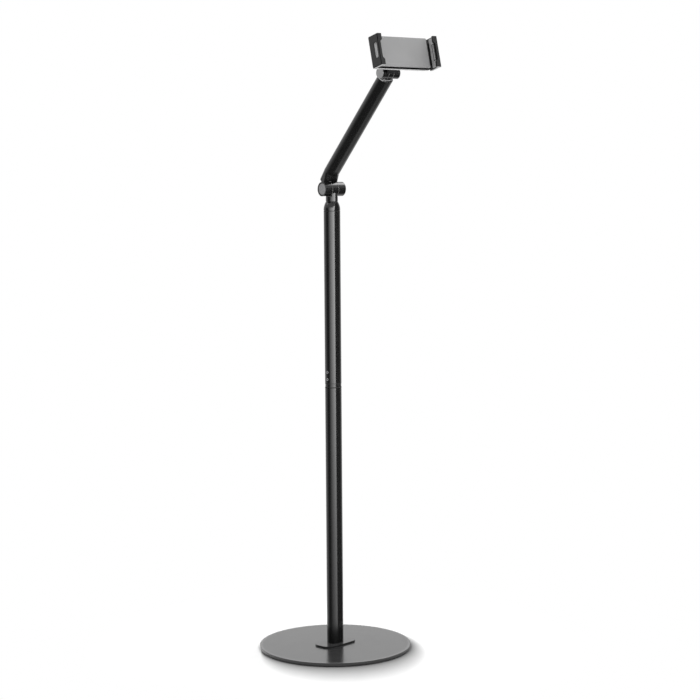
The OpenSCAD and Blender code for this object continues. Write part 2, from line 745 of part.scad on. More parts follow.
// A jaw: wall with a slot, bevelled outer edges and lips at the free edge, drawn for the right
module jaw(inner_x)
    difference() {
        translate([inner_x, 0, tray_out]) union() {
            rotate([0, 90, 0]) linear_extrude(jaw_t - jaw_edge)
                translate([-jaw_depth / 2, 0]) square([jaw_depth, holder_h], center = true);
            translate([jaw_t - jaw_edge, 0, 0]) rotate([0, 90, 0]) linear_extrude(jaw_edge)
                translate([-jaw_depth / 2, 0])
                    soft_rect(jaw_depth - 2 * jaw_edge, holder_h - 2 * jaw_edge, jaw_edge);
            for (side = [0, 1])
                mirror([0, side, 0]) translate([0, holder_h / 2, jaw_depth - lip_t]) linear_extrude(lip_t)
                    polygon([[over, 0], [-lip_reach, 0], [-lip_reach, lip_reach - lip_h], [0, -lip_h],
                        [over, -lip_h]]);
        }
        slot_bar(inner_x - over, inner_x + jaw_t + over, 0);
    }

// The slot lies between the face plate and the lips; the pad is keyed into it
slot_out = (front_out + tray_out + jaw_depth - slot_edge) / 2;
module slot_bar(from, to, spare)
    translate([from, 0, slot_out]) rotate([0, 90, 0]) linear_extrude(to - from)
        rotate(90) soft_rect(slot_len + 2 * spare, slot_w + 2 * spare, slot_corner + spare);

// A pad: plate on the jaw's inner face, a key that fills the slot and a bead towards the tablet
module jaw_pad(inner_x) {
    translate([inner_x - jaw_pad_t, -holder_h / 2 + jaw_pad_in, front_out + rail_fit])
        cube([jaw_pad_t, holder_h - 2 * jaw_pad_in,
            tray_out + jaw_depth - lip_t - front_out - 2 * rail_fit]);
    slot_bar(inner_x - jaw_pad_t / 2, inner_x + jaw_t - pad_sink, -plug_fit);
    difference() {
        slot_bar(inner_x - jaw_pad_t - bead_h, inner_x - jaw_pad_t / 2, bead_out);
        slot_bar(inner_x - jaw_pad_t - 2 * bead_h, inner_x, -bead_in);
    }
}

module left_jaw()
    color("#1f1f20") holder_frame() difference() {
        mirror([1, 0, 0]) jaw(holder_w / 2);
        at_jaw_screws(-1) x_bar(jaw_screw_d + 2 * pin_fit, -jaw_screw_len + tray_wall, over);
    }

module left_jaw_pad() color("#8e8f90") holder_frame() mirror([1, 0, 0]) jaw_pad(holder_w / 2);

module left_jaw_screws()
    color("silver") holder_frame() at_jaw_screws(-1) {
        x_bar(jaw_screw_d, -jaw_screw_len + tray_wall, tray_wall);
        x_bar(rail_t - 2 * rail_fit, tray_wall, tray_wall + inner_head_h);
    }

// Springs that draw the rail to the left, and the rail with its jaw

// A coil along X, as one tube: rings of points lie across the wire
module coil(d, wire, turns, len) {
    rings = turns * spring_steps;
    lead = (len - wire) / rings;
    sides = spring_sides;
    points = [for (i = [0 : rings], k = [0 : sides - 1])
        let (turn = 360 * i / spring_steps, r = (d - wire + wire * cos(360 * k / sides)) / 2)
        [lead * i + wire * (1 + sin(360 * k / sides)) / 2, r * cos(turn), r * sin(turn)]];
    walls = [for (i = [0 : rings - 1], k = [0 : sides - 1])
        let (next = (k + 1) % sides)
        [i * sides + k, i * sides + next, (i + 1) * sides + next, (i + 1) * sides + k]];
    ends = [[for (k = [sides - 1 : -1 : 0]) k], [for (k = [0 : sides - 1]) rings * sides + k]];
    polyhedron(points, concat(walls, ends));
    echo(least_gap_between_turns = lead * spring_steps - wire);
}

module jaw_springs()
    color("silver") holder_frame() for (side = [-1, 1])
        translate([spring_from, side * spring_y, spring_out])
            coil(spring_d, spring_wire, spring_turns, spring_to - spring_from);

module slide_rail()
    color("#4a4b4c") holder_frame() difference() {
        union() {
            translate([rail_left, -rail_w / 2, rail_out])
                cube([rail_len + jaw_gap, rail_w, rail_t]);
            translate([tab_x - tab_len / 2, -spring_y - spring_d / 2, rail_out + rail_t - tab_t])
                cube([tab_len, 2 * spring_y + spring_d, tab_t]);
        }
        at_jaw_screws(1) x_bar(jaw_screw_d + 2 * pin_fit, -jaw_screw_len, over);
    }

module right_jaw()
    color("#1f1f20") holder_frame() difference() {
        jaw(holder_w / 2 + jaw_gap);
        at_jaw_screws(1) x_bar(jaw_screw_d + 2 * pin_fit, -over, jaw_t + over);
        at_jaw_screws(1) x_bar(jaw_head_d, jaw_t - jaw_head_h, jaw_t + over);
    }

module right_jaw_pad() color("#8e8f90") holder_frame() jaw_pad(holder_w / 2 + jaw_gap);

module right_jaw_screws()
    color("silver") holder_frame() at_jaw_screws(1) difference() {
        union() {
            x_bar(jaw_screw_d, over - jaw_screw_len, jaw_t - jaw_head_h);
            x_bar(jaw_head_d - 4 * plug_fit, jaw_t - jaw_head_h, jaw_t - face_fit);
        }
        x_hex(socket_share * jaw_screw_d, jaw_t - jaw_socket_h, jaw_t + over);
    }

floor_pad();
base_plate();
base_screws();
pole_foot();
lower_pole();
joint_collar();
joint_core();
joint_screws();
upper_pole();
pole_cap();
swivel_bush();
swivel_post();
swivel_washer();
swivel_nut();
elbow_fork();
elbow_bolt();
elbow_nut();
elbow_washers();
elbow_cap_left();
elbow_cap_right();
arm_tube();
arm_tongue();
arm_trim();
tilt_bracket();
tilt_bolt();
tilt_nut();
tilt_washers();
tilt_cap_left();
tilt_cap_right();
turn_bolt();
turn_washer();
turn_nut();
back_cover();
back_screws();
slide_tray();
face_plate();
left_jaw();
left_jaw_pad();
left_jaw_screws();
jaw_springs();
slide_rail();
right_jaw();
right_jaw_pad();
right_jaw_screws();
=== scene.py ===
import json
import math

import bpy
from mathutils import Matrix, Vector


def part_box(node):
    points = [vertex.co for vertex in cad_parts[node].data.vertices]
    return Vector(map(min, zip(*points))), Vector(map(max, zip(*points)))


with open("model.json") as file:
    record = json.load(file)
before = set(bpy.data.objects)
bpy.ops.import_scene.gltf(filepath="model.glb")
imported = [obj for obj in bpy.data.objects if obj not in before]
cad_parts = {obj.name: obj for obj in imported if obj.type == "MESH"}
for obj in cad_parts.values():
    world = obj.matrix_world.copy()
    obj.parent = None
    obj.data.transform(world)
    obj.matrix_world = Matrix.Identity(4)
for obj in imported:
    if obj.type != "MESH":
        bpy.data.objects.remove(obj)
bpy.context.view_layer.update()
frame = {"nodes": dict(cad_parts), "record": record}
nodes = frame["nodes"]

# Floor pad: a sheet of black rubber glued under the steel plate, set in from its
# rim so that it stays out of sight. Its skin is dull, with a fine moulded pebble.
noise_low, noise_high = 0.3, 0.7


def shader(name, shade, rough, level=0.5, metal=0.0):
    """A material with its main shader's plain values set, its node tree and that shader."""
    mat = bpy.data.materials.new(name)
    mat.use_nodes = True
    tree = mat.node_tree
    main = tree.nodes["Principled BSDF"]
    main.inputs["Base Color"].default_value = (*shade, 1)
    main.inputs["Roughness"].default_value = rough
    main.inputs["Specular IOR Level"].default_value = level
    main.inputs["Metallic"].default_value = metal
    return mat, tree, main


def surface_place(tree):
    """Where a point of the surface lies in the piece's own space, which is the CAD frame."""
    return tree.nodes.new("ShaderNodeTexCoord").outputs["Object"]


def cloudy(tree, size, stretch=(1, 1, 1), depth=3):
    """Soft noise on a piece; size is the width of its clouds in metres."""
    mapped = tree.nodes.new("ShaderNodeMapping")
    mapped.inputs["Scale"].default_value = [s / size for s in stretch]
    noise = tree.nodes.new("ShaderNodeTexNoise")
    noise.inputs["Scale"].default_value = 1
    noise.inputs["Detail"].default_value = depth
    tree.links.new(surface_place(tree), mapped.inputs["Vector"])
    tree.links.new(mapped.outputs["Vector"], noise.inputs["Vector"])
    return noise.outputs["Fac"]


def ramp(tree, value, first, last, low=0, high=1):
    """A value carried in a straight line from one range to another, and held at its ends."""
    span = tree.nodes.new("ShaderNodeMapRange")
    limits = {"From Min": first, "From Max": last, "To Min": low, "To Max": high}
    for socket, number in limits.items():
        span.inputs[socket].default_value = number
    tree.links.new(value, span.inputs["Value"])
    return span.outputs["Result"]


def tint_with(tree, main, noise, shade, dark, light):
    """Lets the colour drift with a noise between two shares of a shade."""
    blend = tree.nodes.new("ShaderNodeValToRGB")
    stops = blend.color_ramp.elements
    for stop, place, share in zip(stops, (noise_low, noise_high), (dark, light)):
        stop.position = place
        stop.color = (*[share * c for c in shade], 1)
    tree.links.new(noise, blend.inputs["Fac"])
    tree.links.new(blend.outputs["Color"], main.inputs["Base Color"])


def dull_with(tree, main, noise, smooth, dull):
    """Lets the roughness drift with a noise between two values."""
    drift = ramp(tree, noise, noise_low, noise_high, smooth, dull)
    tree.links.new(drift, main.inputs["Roughness"])


def raise_with(tree, main, noise, height, strength):
    """Turns a noise into relief; height in metres."""
    bump = tree.nodes.new("ShaderNodeBump")
    bump.inputs["Distance"].default_value = height
    bump.inputs["Strength"].default_value = strength
    tree.links.new(noise, bump.inputs["Height"])
    tree.links.new(bump.outputs["Normal"], main.inputs["Normal"])


def finish_with(mat, *names):
    """Gives the named pieces their finish."""
    for name in names:
        mesh = nodes[name].data
        if mesh.materials:
            for i in range(len(mesh.materials)):
                mesh.materials[i] = mat
        else:
            mesh.materials.append(mat)


def rubber(name, shade):
    """Matt moulded rubber with a fine pebble and faint bloom."""
    bloom_size, pebble_size, pebble_height = 0.02, 0.0008, 0.0001
    mat, tree, main = shader(name, shade, rough=0.75, level=0.25)
    bloom = cloudy(tree, bloom_size)
    tint_with(tree, main, bloom, shade, dark=0.85, light=1.15)
    dull_with(tree, main, bloom, smooth=0.68, dull=0.82)
    raise_with(tree, main, cloudy(tree, pebble_size), pebble_height, strength=0.4)
    return mat


floor_rubber = rubber("floor_rubber", shade=(0.02, 0.02, 0.02))
finish_with(floor_rubber, "floor_pad")

# Base plate: a round of steel plate with its upper rim slightly broken, powder coated
# satin black. Seen at a low angle it mirrors the pale surroundings and looks grey. Near
# the rim its colour is painted paler, a painted reflection, with a pale painted highlight
# along the edge.


def powder_coat(name, shade, rough, peel, level=0.5):
    """Baked powder paint: slight orange peel, and a sheen that drifts over the surface."""
    drift_size, peel_size, peel_height = 0.05, 0.0014, 0.00006
    mat, tree, main = shader(name, shade, rough, level)
    drift = cloudy(tree, drift_size)
    tint_with(tree, main, drift, shade, dark=0.9, light=1.1)
    dull_with(tree, main, drift, smooth=0.92 * rough, dull=1.08 * rough)
    raise_with(tree, main, cloudy(tree, peel_size, depth=2), peel_height, strength=peel)
    return mat


def toned(mat, fac, shade, rough=None):
    """Carries a finish over to another shade, and roughness if given, as fac goes to 1."""
    tree = mat.node_tree
    main = tree.nodes["Principled BSDF"]
    changes = [("Base Color", "RGBA", "RGBA", (*shade, 1))]
    if rough is not None:
        changes.append(("Roughness", "FLOAT", "VALUE", rough))
    for socket, kind, socket_type, value in changes:
        mix = tree.nodes.new("ShaderNodeMix")
        mix.data_type = kind
        first, second = [s for s in mix.inputs if s.type == socket_type][-2:]
        result = [s for s in mix.outputs if s.type == socket_type][-1]
        tree.links.new(main.inputs[socket].links[0].from_socket, first)
        second.default_value = value
        tree.links.new(fac, mix.inputs["Factor"])
        tree.links.new(result, main.inputs[socket])


def moved(tree, operation, vector, by=(0, 0, 0)):
    """A vector sum in a shader: a vector, or a number for a length or a dot product."""
    node = tree.nodes.new("ShaderNodeVectorMath")
    node.operation = operation
    node.inputs[1].default_value = by
    tree.links.new(vector, node.inputs[0])
    return node.outputs["Value" if operation in ("LENGTH", "DOT_PRODUCT") else "Vector"]


def away_from(tree, middle, axes):
    """Distance of the surface from a point, along the axes that are 1."""
    offset = moved(tree, "SUBTRACT", surface_place(tree), middle)
    return moved(tree, "LENGTH", moved(tree, "MULTIPLY", offset, axes))


base_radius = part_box("base_plate")[1].x
# Painted light: a paler ring on the rim for its reflection, and a pale line on its edge for its
# highlight.
painted_rim_light = (0.006, 0.004, (0.09, 0.09, 0.091))
painted_edge_highlight = (0.0008, 0.0004, (0.06, 0.06, 0.0605))
plate_paint = powder_coat("plate_paint", (0.028, 0.028, 0.0284), rough=0.22, peel=0.08, level=0.7)
tree = plate_paint.node_tree
for begins, full, shade in (painted_rim_light, painted_edge_highlight):
    from_pole = away_from(tree, (0, 0, 0), (1, 1, 0))
    toned(plate_paint, ramp(tree, from_pole, base_radius - begins, base_radius - full), shade)
finish_with(plate_paint, "base_plate")

# Base screws: two zinc-plated countersunk screws, driven from below through the plate
# into the foot. The zinc is bright, with fine turning marks.


def plated_steel(name, shade, rough):
    """Zinc-plated steel: fine turning marks and slight clouding of the plating."""
    cloud_size, mark_size, mark_height = 0.004, 0.0004, 0.00003
    mat, tree, main = shader(name, shade, rough, metal=1.0)
    cloud = cloudy(tree, cloud_size)
    tint_with(tree, main, cloud, shade, dark=0.88, light=1)
    dull_with(tree, main, cloud, smooth=0.8 * rough, dull=1.2 * rough)
    raise_with(tree, main, cloudy(tree, mark_size), mark_height, strength=0.3)
    return mat


zinc = plated_steel("zinc", (0.62, 0.63, 0.64), rough=0.32)
finish_with(zinc, "base_screws")

# Pole foot: a casting of an oblong flange and the oval spigot that the lower tube slides
# over, in a powder coat like that of the plate that it is screwed to.
base_paint = powder_coat("base_paint", (0.036, 0.036, 0.0365), rough=0.2, peel=0.08)
finish_with(base_paint, "pole_foot")

# Pole: two lengths of oval steel tube and the narrow ring between them, powder coated
# satin black. At the ring and under the cap, a dark band is painted at each tube end:
# painted shade for the shadow in the joints.
# The dark band at each tube end is painted shade, for the shadow in the joint.
pole_shade, seam_shadow_shade, seam_rough = (0.006, 0.006, 0.0061), (0.001, 0.001, 0.001), 0.9
seam_blur = 0.0001


def up_to(tree, value, edge, blur):
    """1 where a value is below an edge and 0 past it, blurred a little either way."""
    return ramp(tree, value, edge + blur, edge - blur)


def tube_paint(name, seams=()):
    """The tubes' paint, with a painted shade band of a given width at each given height, for the
    shadow in a joint.
    """
    mat = powder_coat(name, pole_shade, rough=0.2, peel=0.02)
    for height, width in seams:
        from_end = away_from(mat.node_tree, (0, 0, height), (0, 0, 1))
        toned(mat, up_to(mat.node_tree, from_end, width, seam_blur), seam_shadow_shade, seam_rough)
    return mat


lower_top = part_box("lower_pole")[1].z
upper_foot, upper_top = [corner.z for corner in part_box("upper_pole")]
lower_paint = tube_paint("lower_paint", seams=[(lower_top, 0.0015)])
finish_with(lower_paint, "lower_pole")
upper_paint = tube_paint("upper_paint", seams=[(upper_top, 0.001), (upper_foot, 0.0007)])
finish_with(upper_paint, "upper_pole")
collar_paint = powder_coat("collar_paint", (0.008, 0.008, 0.0081), rough=0.26, peel=0.02)
finish_with(collar_paint, "joint_collar")

# Pole joint: an extruded aluminium sleeve inside both tubes, drawn tight by two socket
# grub screws on the pole's narrow side, which are left bright.


def bare_extrusion(name, shade):
    """Mill-finish aluminium: fine lines along the way that it was drawn."""
    line_size, line_height = 0.0006, 0.00003
    mat, tree, main = shader(name, shade, rough=0.38, metal=1.0)
    lines = cloudy(tree, line_size, stretch=(1, 1, 0.02))
    tint_with(tree, main, lines, shade, dark=0.85, light=1)
    dull_with(tree, main, lines, smooth=0.3, dull=0.46)
    raise_with(tree, main, lines, line_height, strength=0.3)
    return mat


sleeve_metal = bare_extrusion("sleeve_metal", (0.6, 0.61, 0.62))
finish_with(sleeve_metal, "joint_core")
grub_steel = plated_steel("grub_steel", (0.55, 0.55, 0.56), rough=0.35)
finish_with(grub_steel, "joint_screws")

# Pole cap and neck: die castings, painted black like the tubes but smoother. The neck's
# stem turns in a flanged nylon bush and is held by a washer and a lock nut.
cast_shade = (0.008, 0.008, 0.0081)


def casting_paint(name):
    """Smooth satin black over a die casting."""
    return powder_coat(name, cast_shade, rough=0.14, peel=0.008)


def nylon(name, shade):
    """Nylon: slightly waxy, with faint flow marks."""
    flow_size, grain_size, grain_height = 0.006, 0.0009, 0.00004
    mat, tree, main = shader(name, shade, rough=0.45, level=0.4)
    flow = cloudy(tree, flow_size, stretch=(1, 1, 0.3))
    tint_with(tree, main, flow, shade, dark=0.92, light=1)
    dull_with(tree, main, flow, smooth=0.4, dull=0.52)
    raise_with(tree, main, cloudy(tree, grain_size), grain_height, strength=0.2)
    return mat


cast_paint = casting_paint("cast_paint")
finish_with(cast_paint, "pole_cap", "swivel_post")
finish_with(zinc, "swivel_washer", "swivel_nut")
bush_nylon = nylon("bush_nylon", (0.008, 0.008, 0.008))
finish_with(bush_nylon, "swivel_bush")

# Elbow: the arm's cast fork with its outer knuckles, the bolt and nut in their pockets,
# two friction washers at the neck's knuckle, and a pressed-in grey disc at each end.


def spun_disc(name, shade, rough, middle):
    """A turned end disc: satin, with fine rings about the barrel's axis."""
    rings_per_metre, ring_height = 2200, 0.00003
    mat, tree, main = shader(name, shade, rough)
    noise = tree.nodes.new("ShaderNodeTexNoise")
    noise.noise_dimensions = "1D"
    noise.inputs["Scale"].default_value = rings_per_metre
    tree.links.new(away_from(tree, middle, (0, 1, 1)), noise.inputs["W"])
    rings = noise.outputs["Fac"]
    tint_with(tree, main, rings, shade, dark=0.9, light=1.08)
    dull_with(tree, main, rings, smooth=0.9 * rough, dull=1.1 * rough)
    raise_with(tree, main, rings, ring_height, strength=0.25)
    return mat


def middle_of(name):
    """The middle of a piece's box."""
    low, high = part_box(name)
    return (low + high) / 2


finish_with(cast_paint, "elbow_fork")
finish_with(zinc, "elbow_bolt", "elbow_nut")
washer_nylon = nylon("washer_nylon", (0.3, 0.3, 0.29))
finish_with(washer_nylon, "elbow_washers")
elbow_middle = middle_of("elbow_cap_left")
elbow_disc = spun_disc("elbow_disc", (0.22, 0.22, 0.222), rough=0.35, middle=elbow_middle)
finish_with(elbow_disc, "elbow_cap_left", "elbow_cap_right")

# Arm: oval steel tube in the pole's paint, plugged at the bottom by the fork and at the
# top by a casting whose tongue is the middle knuckle of the tilt hinge. A ring closes
# the tube round the tongue; where they meet, both are painted light, a painted highlight
# for their upper faces lit from above.
tilt_middle = middle_of("tilt_cap_left")
arm_lean = math.radians(44.5)
arm_up = Vector((0, -math.sin(arm_lean), math.cos(arm_lean)))
arm_front = Vector((0, -arm_up.z, arm_up.y))
trim_front, trim_below, root_below = 0.0089, 0.012, 0.01
lit_end_shade, lit_end_rough, lit_end_blur = (0.75, 0.75, 0.753), 0.4, 0.0002


def along(tree, point, direction):
    """How far the surface lies past a point in a direction."""
    offset = moved(tree, "SUBTRACT", surface_place(tree), point)
    return moved(tree, "DOT_PRODUCT", offset, direction)


def worked(tree, operation, first, second=0):
    """A sum of two values in a shader; plain numbers go on the sockets."""
    node = tree.nodes.new("ShaderNodeMath")
    node.operation = operation
    for socket, value in zip(node.inputs, (first, second)):
        if isinstance(value, (int, float)):
            socket.default_value = value
        else:
            tree.links.new(value, socket)
    return node.outputs["Value"]


pole_paint = tube_paint("pole_paint")
finish_with(pole_paint, "arm_tube")
# The ring's upper face is painted light: a painted highlight for light from above.
trim_paint = powder_coat("trim_paint", cast_shade, rough=0.2, peel=0.02)
tree = trim_paint.node_tree
near_tongue = up_to(tree, along(tree, tilt_middle, arm_front), trim_front, lit_end_blur)
upper_face = up_to(tree, along(tree, tilt_middle, -arm_up), trim_below, lit_end_blur)
toned(trim_paint, worked(tree, "MULTIPLY", near_tongue, upper_face), lit_end_shade, lit_end_rough)
finish_with(trim_paint, "arm_trim")
# The tongue's root is painted light: a painted highlight for light from above.
tongue_paint = casting_paint("tongue_paint")
tree = tongue_paint.node_tree
tongue_root = up_to(tree, along(tree, tilt_middle, arm_up), -root_below, lit_end_blur)
toned(tongue_paint, tongue_root, lit_end_shade, lit_end_rough)
finish_with(tongue_paint, "arm_tongue")

# Tilt hinge: the bracket's two knuckles on the arm's tongue, with bolt, nut, friction
# washers and a light grey disc at each end. The bracket carries the turning boss.
finish_with(cast_paint, "tilt_bracket")
finish_with(zinc, "tilt_bolt", "tilt_nut")
finish_with(washer_nylon, "tilt_washers")
tilt_disc = spun_disc("tilt_disc", (0.29, 0.29, 0.292), rough=0.4, middle=tilt_middle)
finish_with(tilt_disc, "tilt_cap_left", "tilt_cap_right")

# Turning bolt: a socket-head bolt from behind through the boss, with a nylon washer
# under the holder and a nut in the back cover's pocket.
finish_with(zinc, "turn_bolt", "turn_nut")
finish_with(washer_nylon, "turn_washer")

# Holder: a moulded tray closed by a grey face plate in front and a light grey cover
# behind, which four small screws hold. The tray's rear edge is as light as the cover.
joints = {joint["name"]: joint for joint in frame["record"]["behaviour"]["joints"]}
holder_out = Vector(joints["holder_turn"]["axis"]).normalized()
holder_up = Vector((0, holder_out.z, -holder_out.y))
cover_shade, plastic_shade = (0.6, 0.6, 0.602), (0.009, 0.009, 0.0092)
rear_edge_out, rear_edge_blur = 0.0435, 0.0002


def satin_sheet(name, shade, rough):
    """Satin sheet: very fine lines along its length and a soft drift of tone."""
    line_size, drift_size, line_height = 0.0007, 0.09, 0.00003
    mat, tree, main = shader(name, shade, rough, level=0.4)
    lines = cloudy(tree, line_size, stretch=(0.03, 1, 1))
    tint_with(tree, main, cloudy(tree, drift_size), shade, dark=0.94, light=1.06)
    dull_with(tree, main, lines, smooth=0.9 * rough, dull=1.1 * rough)
    raise_with(tree, main, lines, line_height, strength=0.15)
    return mat


def moulded(name, shade, rough, level=0.35, mottle=0.12):
    """Injection-moulded plastic with a fine spark grain."""
    drift_size, grain_size, grain_height = 0.015, 0.0006, 0.00008
    mat, tree, main = shader(name, shade, rough, level)
    drift = cloudy(tree, drift_size)
    tint_with(tree, main, drift, shade, dark=1 - mottle, light=1 + mottle)
    dull_with(tree, main, drift, smooth=0.92 * rough, dull=1.08 * rough)
    raise_with(tree, main, cloudy(tree, grain_size), grain_height, strength=0.35)
    return mat


face_sheet = satin_sheet("face_sheet", (0.4, 0.4, 0.402), rough=0.45)
finish_with(face_sheet, "face_plate")
cover_grey = moulded("cover_grey", cover_shade, rough=0.38, level=0.5, mottle=0.02)
finish_with(cover_grey, "back_cover")
finish_with(zinc, "back_screws")
tray_black = moulded("tray_black", plastic_shade, rough=0.7, level=0.02)
tree = tray_black.node_tree
rear_edge = up_to(tree, along(tree, tilt_middle, holder_out), rear_edge_out, rear_edge_blur)
toned(tray_black, rear_edge, cover_shade)
finish_with(tray_black, "slide_tray")

# Jaws: moulded black plates with lips, light at their lower ends, each screwed on by two
# small screws. A grey rubber pad lines each one, keyed into the jaw's slot. A dark line
# is painted round the key on its inner face: painted shade along the key's bead.
end_below, end_blur, end_shade = 0.0057, 0.0001, (0.45, 0.45, 0.452)
jaw_black = moulded("jaw_black", plastic_shade, rough=0.3)
tree = jaw_black.node_tree
lower_end = up_to(tree, along(tree, tilt_middle, holder_up), -end_below, end_blur)
toned(jaw_black, lower_end, end_shade)
finish_with(jaw_black, "left_jaw", "right_jaw")
finish_with(zinc, "left_jaw_screws", "right_jaw_screws")

key_out, key_half_depth = 0.0585, 0.0018
key_up, key_half_height = 0.0225, 0.0135
crease_middle, crease_half_width, crease_blur = 0.0008, 0.00075, 0.00015
jaws_middle, inner_reach, inner_blur = Vector((0.00225, 0, 0)), 0.0628, 0.0001
# The dark line round the key is painted shade, for the shadow along the key's bead.
crease_shadow_shade = (0.03, 0.03, 0.03)


def past_key(tree, direction, middle, half_size):
    """How far a pad's surface lies past the key's edges in a direction, either way."""
    from_middle = worked(tree, "SUBTRACT", along(tree, tilt_middle, direction), middle)
    return worked(tree, "SUBTRACT", worked(tree, "ABSOLUTE", from_middle), half_size)


jaw_rubber = rubber("jaw_rubber", shade=(0.41, 0.41, 0.412))
tree = jaw_rubber.node_tree
outside = worked(tree, "MAXIMUM", past_key(tree, holder_out, key_out, key_half_depth),
                 past_key(tree, holder_up, key_up, key_half_height))
from_crease = worked(tree, "ABSOLUTE", worked(tree, "SUBTRACT", outside, crease_middle))
crease = up_to(tree, from_crease, crease_half_width, crease_blur)
from_jaws_middle = worked(tree, "ABSOLUTE", along(tree, jaws_middle, (1, 0, 0)))
inner_face = up_to(tree, from_jaws_middle, inner_reach, inner_blur)
toned(jaw_rubber, worked(tree, "MULTIPLY", crease, inner_face), crease_shadow_shade)
finish_with(jaw_rubber, "left_jaw_pad", "right_jaw_pad")

# Sprung slide: a drawn aluminium rail, anodised black, that two extension springs of
# plated wire pull into the tray. The right jaw is screwed to its end.
rail_dark = moulded("rail_dark", (0.015, 0.015, 0.0152), rough=0.4)
finish_with(rail_dark, "slide_rail")
finish_with(zinc, "jaw_springs")

# Studio floor: pale paper under the stand's real shadow, with a soft shadow painted into
# its colour round the base, longest towards the camera; it goes over to white well away
# from the base.
view_turn = math.radians(37.334)
towards_camera = Vector((-math.sin(view_turn), -math.cos(view_turn), 0))
image_right = Vector((math.cos(view_turn), -math.sin(view_turn), 0))
floor_size, floor_drop = 40, 0.0003
# The shadow round the base is painted into the paper's colour, over the real shadow.
shadow_middle = 0.0155 * image_right + 0.046 * towards_camera
shadow_reach = (0.157, 0.205, 1)
shadow_depth, shadow_softness, least_gap = 0.76, 0.18, 0.0001
grain_size, paper_dark, paper_light = 0.03, 0.87, 0.89
white_from, white_to = 0.22, 0.5
bpy.ops.mesh.primitive_plane_add(size=floor_size, location=(0, 0, -floor_drop))
floor = bpy.context.object
floor.name = "studio_floor"
floor_paper, tree, main = shader("floor_paper", (0.86, 0.86, 0.86), rough=0.9, level=0.1)
floor_place = surface_place(tree)
shadow_place = tree.nodes.new("ShaderNodeMapping")
shadow_place.vector_type = "TEXTURE"
shadow_place.inputs["Location"].default_value = shadow_middle
shadow_place.inputs["Rotation"].default_value = (0, 0, -view_turn)
shadow_place.inputs["Scale"].default_value = shadow_reach
tree.links.new(floor_place, shadow_place.inputs["Vector"])
from_pole = moved(tree, "LENGTH", floor_place)
from_rim = worked(tree, "SUBTRACT", from_pole, base_radius)
from_rim = worked(tree, "MAXIMUM", from_rim, least_gap)
in_shadow = worked(tree, "SUBTRACT", 1, moved(tree, "LENGTH", shadow_place.outputs["Vector"]))
to_light = worked(tree, "MULTIPLY", in_shadow, shadow_softness)
to_light = worked(tree, "MAXIMUM", to_light, 0)
fading = worked(tree, "DIVIDE", from_rim, worked(tree, "ADD", from_rim, to_light))
kept_light = worked(tree, "MULTIPLY", fading, shadow_depth)
kept_light = worked(tree, "ADD", kept_light, 1 - shadow_depth)
grain = ramp(tree, cloudy(tree, grain_size), noise_low, noise_high, paper_dark, paper_light)
tree.links.new(worked(tree, "MULTIPLY", kept_light, grain), main.inputs["Base Color"])
far_off = tree.nodes.new("ShaderNodeMapRange")
far_off.interpolation_type = "SMOOTHSTEP"
far_off.inputs["From Min"].default_value = white_from
far_off.inputs["From Max"].default_value = white_to
tree.links.new(from_pole, far_off.inputs["Value"])


def seen_directly(tree):
    """1 for rays from the camera, and those that metal and glass pass on; 0 for light."""
    ray = tree.nodes.new("ShaderNodeLightPath").outputs
    shown = worked(tree, "MAXIMUM", ray["Is Camera Ray"], ray["Is Glossy Ray"])
    return worked(tree, "MAXIMUM", shown, ray["Is Transmission Ray"])


def shown_or_lit(tree, fac, lit, shown, output):
    """Joins what carries light and what is shown, by fac, into a tree's output."""
    blend = tree.nodes.new("ShaderNodeMixShader")
    tree.links.new(fac, blend.inputs["Fac"])
    tree.links.new(lit, blend.inputs[1])
    tree.links.new(shown, blend.inputs[2])
    tree.links.new(blend.outputs["Shader"], tree.nodes[output].inputs["Surface"])


white_paper = tree.nodes.new("ShaderNodeEmission")
far_seen = worked(tree, "MULTIPLY", seen_directly(tree), far_off.outputs["Result"])
shown_or_lit(tree, far_seen, main.outputs["BSDF"], white_paper.outputs["Emission"],
             "Material Output")
floor.data.materials.append(floor_paper)

# Surround and lamps: a white sweep all round, which lights the stand at a lower level
# than it shows, and two broad soft lights above, one behind and one at the right.
white, shown_level, lit_level = (1, 1, 1, 1), 1, 0.6
surround = bpy.data.worlds.new("white_surround")
bpy.context.scene.world = surround
surround.use_nodes = True
tree = surround.node_tree
shown_white = tree.nodes["Background"]
lit_white = tree.nodes.new("ShaderNodeBackground")
for background, strength in ((shown_white, shown_level), (lit_white, lit_level)):
    background.inputs["Color"].default_value = white
    background.inputs["Strength"].default_value = strength
shown_or_lit(tree, seen_directly(tree), lit_white.outputs["Background"],
             shown_white.outputs["Background"], "World Output")


def softbox(name, place, target, width, height, power):
    """A rectangular soft light that faces a point."""
    lamp = bpy.data.lights.new(name, "AREA")
    lamp.shape = "RECTANGLE"
    lamp.size = width
    lamp.size_y = height
    lamp.energy = power
    stand = bpy.data.objects.new(name, lamp)
    bpy.context.scene.collection.objects.link(stand)
    stand.location = place
    aim = Vector(target) - Vector(place)
    stand.rotation_euler = aim.to_track_quat("-Z", "Y").to_euler()
    stand.visible_camera = False


softbox("top_light", place=(-0.5, 1.2, 3.0), target=(0, 0, 0.3), width=2.6, height=2.0, power=40)
softbox("right_light", place=(1.5, 0, 2.7), target=(0, 0, 0.8), width=1.6, height=1.6, power=40)

